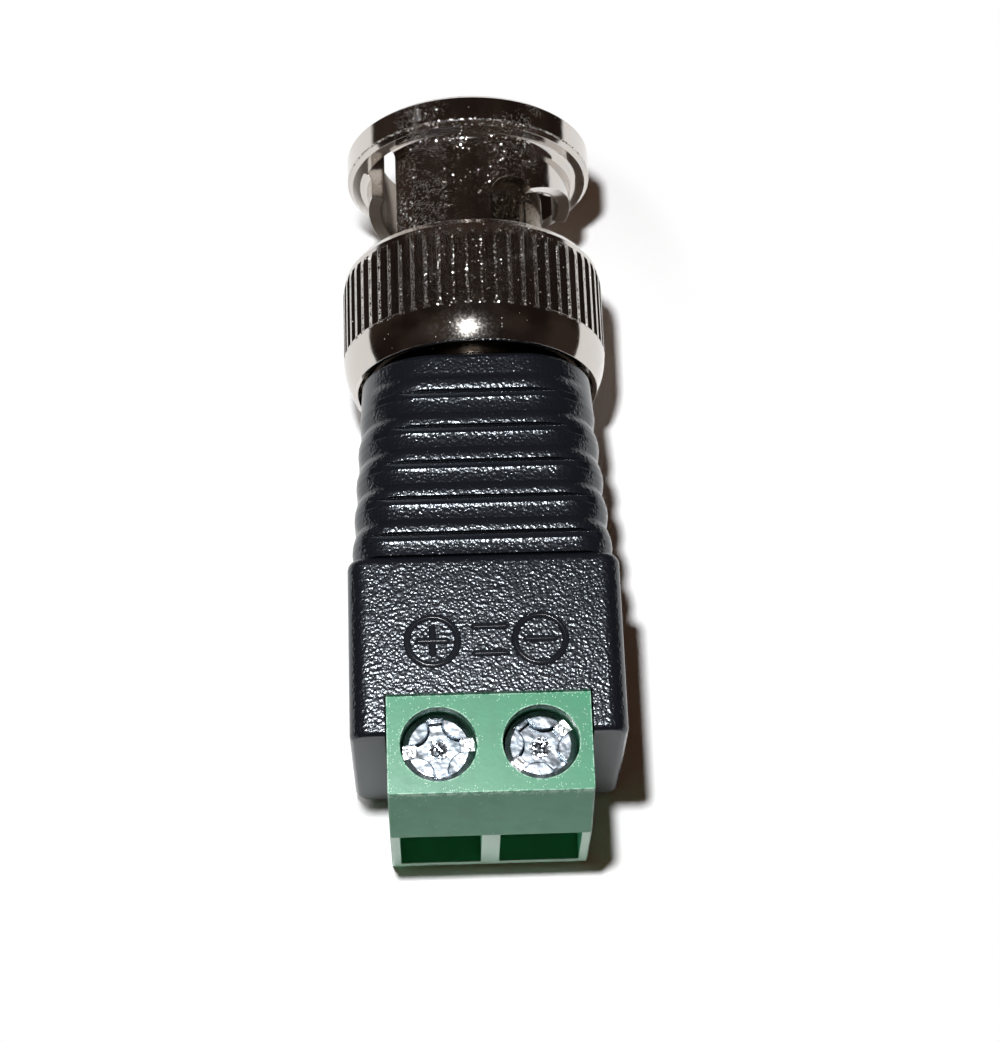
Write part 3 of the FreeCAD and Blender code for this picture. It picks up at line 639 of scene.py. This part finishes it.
class ADAPTER_OT_clamp_parts(bpy.types.Operator):
    """Zinc plate on the screws and cages, tin on the bars"""

    bl_idname = "adapter.clamp_parts"
    bl_label = "Clamp parts"

    def execute(self, context):
        finishes = context.scene.adapter_finishes
        zinc = tuple(finishes.zinc)
        cage = zinc_plated("zinc_plate", zinc)
        tin = Finish("bar_tin")
        dull = tin.noise(TIN_GRAIN) * 0.2 + 0.25
        tinned = tin.surface(Base_Color=TIN, Metallic=1.0, Roughness=dull)
        for side in SLOT_TURNS:
            wear("terminal_screw_" + side, screw_zinc(side, zinc, finishes.edge))
            wear("clamp_cage_" + side, cage)
            wear("contact_bar_" + side, tinned)
        return {"FINISHED"}


# Transformer inside the housing
class ADAPTER_OT_transformer(bpy.types.Operator):
    """Ferrite ring, enamelled windings and leads"""

    bl_idname = "adapter.transformer"
    bl_label = "Transformer"

    def execute(self, context):
        core = Finish("ferrite")
        wear("ferrite_core", core.surface(Base_Color=FERRITE, Roughness=0.6))
        wire = Finish("winding_enamel")
        turns = wire.node("ShaderNodeTexWave", {}, {"Vector": wire.place, "Scale": WIRE_RIDGES})
        ridges = Value(wire, turns.outputs[1])
        enamel = wire.surface(
            Base_Color=ENAMEL,
            Metallic=0.6,
            Roughness=0.25,
            Normal=wire.bump(ridges * (0.03 * MM)),
        )
        for node in ("plug_winding", "terminal_winding"):
            wear(node, enamel)
        for node in ("signal_lead", "ground_lead", "plus_lead", "minus_lead"):
            wear(node, enamel)
        return {"FINISHED"}


# Raised lines of the pole signs
class Layout:
    """A geometry tree with one way to add any node, and inputs with names."""

    def __init__(self, name, sizes):
        self.tree = bpy.data.node_groups.new(name, "GeometryNodeTree")
        interface = self.tree.interface
        interface.new_socket("Geometry", in_out="INPUT", socket_type="NodeSocketGeometry")
        for size_name, kind in sizes.items():
            interface.new_socket(size_name, in_out="INPUT", socket_type=kind)
        interface.new_socket("Geometry", in_out="OUTPUT", socket_type="NodeSocketGeometry")
        self.given = self.tree.nodes.new("NodeGroupInput").outputs
        self.result = self.tree.nodes.new("NodeGroupOutput").inputs

    def node(self, kind, settings=None, inputs=None):
        added = self.tree.nodes.new(kind)
        for name, value in (settings or {}).items():
            setattr(added, name, value)
        for key, value in (inputs or {}).items():
            socket = added.inputs[key]
            for single in value if isinstance(value, list) else [value]:
                if isinstance(single, bpy.types.NodeSocket):
                    self.tree.links.new(single, socket)
                else:
                    socket.default_value = single
        return added.outputs

    def finish(self, geometry, material):
        real = self.node("GeometryNodeRealizeInstances", {}, {"Geometry": geometry})[0]
        worn = self.node("GeometryNodeSetMaterial", {}, {"Geometry": real, "Material": material})[0]
        self.tree.links.new(worn, self.result[0])
        return self.tree


def grown(name, points, attributes, tree, sizes):
    """A plain mesh from a tree that reads points, each with a number for every attribute."""
    seed_mesh = bpy.data.meshes.new(name + "_points")
    seed_mesh.from_pydata(points, [], [])
    for attribute, values in attributes.items():
        layer = seed_mesh.attributes.new(attribute, "FLOAT", "POINT")
        layer.data.foreach_set("value", values)
    carrier = bpy.data.objects.new(name + "_points", seed_mesh)
    bpy.context.scene.collection.objects.link(carrier)
    modifier = carrier.modifiers.new("layout", "NODES")
    modifier.node_group = tree
    for item in tree.interface.items_tree:
        if item.in_out == "INPUT" and item.name in sizes:
            modifier[item.identifier] = sizes[item.name]
    bpy.context.view_layer.update()
    evaluated = carrier.evaluated_get(bpy.context.evaluated_depsgraph_get())
    mesh = bpy.data.meshes.new_from_object(evaluated)
    mesh.name = name
    carrier.modifiers.remove(modifier)
    bpy.data.objects.remove(carrier)
    piece = bpy.data.objects.new(name, mesh)
    bpy.context.scene.collection.objects.link(piece)
    if not mesh.polygons:
        raise RuntimeError("no faces in " + name)
    return piece


def sign_tree(material):
    """Rings where the point's stroke length is 0, straight ridges elsewhere."""
    real_number = "NodeSocketFloat"
    sizes = {"Ring Radius": real_number, "Ridge Width": real_number, "Ridge Height": real_number}
    layout = Layout("pole_sign_lines", sizes)
    given = layout.given

    def divided(number, divisor):
        return layout.node("ShaderNodeMath", {"operation": "DIVIDE"}, {0: number, 1: divisor})[0]

    def circle(corners, radius):
        inputs = {"Resolution": corners, "Radius": radius}
        return layout.node("GeometryNodeCurvePrimitiveCircle", {"mode": "RADIUS"}, inputs)[0]

    def attribute(name):
        kind = {"data_type": "FLOAT"}
        return layout.node("GeometryNodeInputNamedAttribute", kind, {"Name": name})[0]

    def swept(path, capped):
        inputs = {"Curve": path, "Profile Curve": profile, "Fill Caps": capped}
        return layout.node("GeometryNodeCurveToMesh", {}, inputs)[0]

    def instances(chosen, piece, **more):
        inputs = {"Points": given["Geometry"], "Selection": chosen, "Instance": piece, **more}
        return layout.node("GeometryNodeInstanceOnPoints", {}, inputs)[0]

    def vector(x, y, z):
        return layout.node("ShaderNodeCombineXYZ", {}, {"X": x, "Y": y, "Z": z})[0]

    half_width = divided(given["Ridge Width"], 2.0)
    profile = circle(10, half_width)
    ends = {"Start": (-0.5, 0.0, 0.0), "End": (0.5, 0.0, 0.0)}
    stroke_path = layout.node("GeometryNodeCurvePrimitiveLine", {}, ends)[0]
    ring = swept(circle(72, given["Ring Radius"]), False)
    stroke = swept(stroke_path, True)
    length_of = attribute("stroke_length")
    is_ring = layout.node("FunctionNodeCompare", {"operation": "EQUAL"}, {0: length_of, 1: 0.0})[0]
    is_stroke = layout.node("FunctionNodeBooleanMath", {"operation": "NOT"}, {0: is_ring})[0]
    rings = instances(is_ring, ring)
    turned = vector(0.0, 0.0, attribute("turn"))
    strokes = instances(is_stroke, stroke, Rotation=turned, Scale=vector(length_of, 1.0, 1.0))
    joined = layout.node("GeometryNodeJoinGeometry", {}, {"Geometry": [rings, strokes]})[0]
    real = layout.node("GeometryNodeRealizeInstances", {}, {"Geometry": joined})[0]
    # the round profile is squeezed to the ridge's height
    squeeze = vector(1.0, 1.0, divided(given["Ridge Height"], half_width))
    place = layout.node("GeometryNodeInputPosition")[0]
    low = layout.node("ShaderNodeVectorMath", {"operation": "MULTIPLY"}, {0: place, 1: squeeze})[0]
    lowered = layout.node("GeometryNodeSetPosition", {}, {"Geometry": real, "Position": low})[0]
    smooth = layout.node("GeometryNodeSetShadeSmooth", {}, {"Geometry": lowered})[0]
    return layout.finish(smooth, material)


class ADAPTER_OT_pole_signs(bpy.types.Operator):
    """Raised lines of the plus and minus signs on the housing's top"""

    bl_idname = "adapter.pole_signs"
    bl_label = "Pole signs"

    def execute(self, context):
        marks = context.scene.adapter_marks
        finishes = context.scene.adapter_finishes
        finish = Finish("sign_plastic")
        material = finish.surface(Base_Color=tuple(finishes.plastic), Roughness=0.22)
        points = [(x, marks.station, 0.0) for x in (-marks.spacing / 2, marks.spacing / 2)]
        lengths = [0.0, 0.0]
        turns = [0.0, 0.0]
        for x, y, stroke, upright in mark_strokes(marks):
            points.append((x, y, 0.0))
            lengths.append(stroke)
            turns.append(math.pi / 2 if upright else 0.0)
        sizes = {
            "Ring Radius": marks.ring_radius,
            "Ridge Width": marks.ridge,
            "Ridge Height": marks.rise,
        }
        attributes = {"stroke_length": lengths, "turn": turns}
        signs = grown("pole_signs", points, attributes, sign_tree(material), sizes)
        signs.data.transform(Matrix.Translation((0.0, 0.0, HOUSING_TOP)))
        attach(signs, "adapter_body")
        return {"FINISHED"}


# Floor, lamp, room and camera
def floor_plane():
    """The floor's height at the origin and its slope: it touches the knurl and the box's edge."""
    nut_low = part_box("coupling_nut")[0]
    front = Vector((0.0, FLUTE_REAR, nut_low.z))
    rear = Vector((0.0, HOUSING_LOW.y, -HOUSING_TOP))
    slope = (front.z - rear.z) / (front.y - rear.y)
    return front.z - slope * front.y, slope


def floor_material(floor):
    """White paper that glows white away from the adapter for rays that see it, shadowed near it."""
    finish = Finish("floor_paper")
    aside = finish.x - FLOOR_MIDDLE[0]
    beyond_end = ((finish.y - FLOOR_MIDDLE[1]).size() - FLOOR_HALF_LENGTH).most(0.0)
    far = (aside * aside + beyond_end * beyond_end).root().step(SHADOW_FROM, SHADOW_TO)
    rays = finish.node("ShaderNodeLightPath")
    seen = Value(finish, rays.outputs["Is Camera Ray"])
    seen = seen.most(Value(finish, rays.outputs["Is Glossy Ray"]))
    seen = seen.most(Value(finish, rays.outputs["Is Transmission Ray"]))
    paper = finish.node("ShaderNodeBsdfDiffuse", {}, {"Color": (*floor, 1.0)})
    glow = finish.node("ShaderNodeEmission", {}, {"Color": (*WHITE, 1.0), "Strength": 1.0})
    parts = {0: far * seen, 1: paper.outputs[0], 2: glow.outputs[0]}
    mixed = finish.node("ShaderNodeMixShader", {}, parts)
    finish.node("ShaderNodeOutputMaterial", {}, (mixed.outputs[0],))
    return finish.material


def room_light(stage):
    """White low down and for the camera, a dark brown room for the metal, warm in the shadows."""
    world = bpy.data.worlds.new("room")
    world.use_nodes = True
    bpy.context.scene.world = world
    room = Finish.on(world.node_tree)
    way = Value(room, room.node("ShaderNodeTexCoord").outputs["Generated"])
    height = Value(room, room.node("ShaderNodeSeparateXYZ", {}, (way,)).outputs[2])
    rays = room.node("ShaderNodeLightPath").outputs
    low = height.step(-0.16, -0.24)
    patch = room.noise(1.6, 2.0, 0.5, way).step(0.35, 0.65)
    dark = room.blend(patch, tuple(stage.room), tuple(3.0 * channel for channel in stage.room))
    dark = room.blend(Value(room, rays["Is Diffuse Ray"]), dark, tuple(stage.glow))
    light = room.blend(Value(room, rays["Is Camera Ray"]).most(low), dark, WHITE)
    background = room.node("ShaderNodeBackground", {}, {"Color": light})
    room.node("ShaderNodeOutputWorld", {}, (background.outputs[0],))


class ADAPTER_OT_stage(bpy.types.Operator):
    """Floor, lamp, room and camera"""

    bl_idname = "adapter.stage"
    bl_label = "Stage"

    def execute(self, context):
        scene = context.scene
        stage = scene.adapter_stage
        height, slope = floor_plane()
        corners = []
        for step in range(FLOOR_CORNERS):
            turn = math.tau * step / FLOOR_CORNERS
            y = FLOOR_REACH * math.sin(turn)
            corners.append((FLOOR_REACH * math.cos(turn), y, height + slope * y))
        mesh = bpy.data.meshes.new("floor")
        mesh.from_pydata(corners, [], [list(range(FLOOR_CORNERS))])
        floor = bpy.data.objects.new("floor", mesh)
        scene.collection.objects.link(floor)
        mesh.materials.append(floor_material(tuple(stage.floor)))

        lamp_data = bpy.data.lights.new("key", "AREA")
        lamp_data.shape = "DISK"
        lamp_data.size = stage.key_size
        lamp_data.color = LAMP_WHITE
        towards = Vector(stage.key_place) - Vector((0.0, LAMP_AIM_Y, height))
        lamp_data.energy = stage.key * math.pi**2 * towards.length_squared
        lamp = bpy.data.objects.new("key", lamp_data)
        lamp.location = stage.key_place
        lamp.rotation_mode = "QUATERNION"
        lamp.rotation_quaternion = towards.to_track_quat("Z", "Y")
        lamp.visible_camera = False
        scene.collection.objects.link(lamp)

        room_light(stage)

        camera_data = bpy.data.cameras.new("camera")
        camera_data.sensor_fit = "HORIZONTAL"
        camera_data.sensor_width = 36.0
        camera_data.lens = stage.lens
        camera_data.clip_start = 0.002
        camera_data.clip_end = 20.0
        camera = bpy.data.objects.new("camera", camera_data)
        turn = Matrix((CAMERA_RIGHT, CAMERA_UP, CAMERA_BACK)).transposed()
        camera.matrix_world = Matrix.Translation(CAMERA_PLACE) @ turn.to_4x4()
        scene.collection.objects.link(camera)
        scene.camera = camera
        scene.view_settings.view_transform = "Standard"
        return {"FINISHED"}


class ADAPTER_PT_panel(bpy.types.Panel):
    """The adapter's pieces and sizes"""

    bl_idname = "ADAPTER_PT_panel"
    bl_label = "Adapter"
    bl_space_type = "VIEW_3D"
    bl_region_type = "UI"
    bl_category = "Adapter"

    def draw(self, context):
        for group in (
            context.scene.adapter_finishes,
            context.scene.adapter_marks,
            context.scene.adapter_stage,
        ):
            column = self.layout.column(align=True)
            for name in group.__annotations__:
                column.prop(group, name)
        for operator in OPERATORS:
            self.layout.operator(operator.bl_idname)


GROUPS = {
    "adapter_finishes": AdapterFinishes,
    "adapter_marks": AdapterMarks,
    "adapter_stage": AdapterStage,
}
OPERATORS = (
    ADAPTER_OT_plated_parts,
    ADAPTER_OT_housing,
    ADAPTER_OT_terminal_block,
    ADAPTER_OT_clamp_parts,
    ADAPTER_OT_transformer,
    ADAPTER_OT_pole_signs,
    ADAPTER_OT_stage,
)


def register():
    for name, group in GROUPS.items():
        bpy.utils.register_class(group)
        setattr(bpy.types.Scene, name, bpy.props.PointerProperty(type=group))
    for operator in OPERATORS:
        bpy.utils.register_class(operator)
    bpy.utils.register_class(ADAPTER_PT_panel)


def unregister():
    bpy.utils.unregister_class(ADAPTER_PT_panel)
    for operator in reversed(OPERATORS):
        bpy.utils.unregister_class(operator)
    for name, group in reversed(list(GROUPS.items())):
        delattr(bpy.types.Scene, name)
        bpy.utils.unregister_class(group)


def main():
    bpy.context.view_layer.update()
    register()
    bpy.ops.adapter.plated_parts()
    bpy.ops.adapter.housing()
    bpy.ops.adapter.terminal_block()
    bpy.ops.adapter.clamp_parts()
    bpy.ops.adapter.transformer()
    bpy.ops.adapter.pole_signs()
    bpy.ops.adapter.stage()


if __name__ == "__main__":
    main()
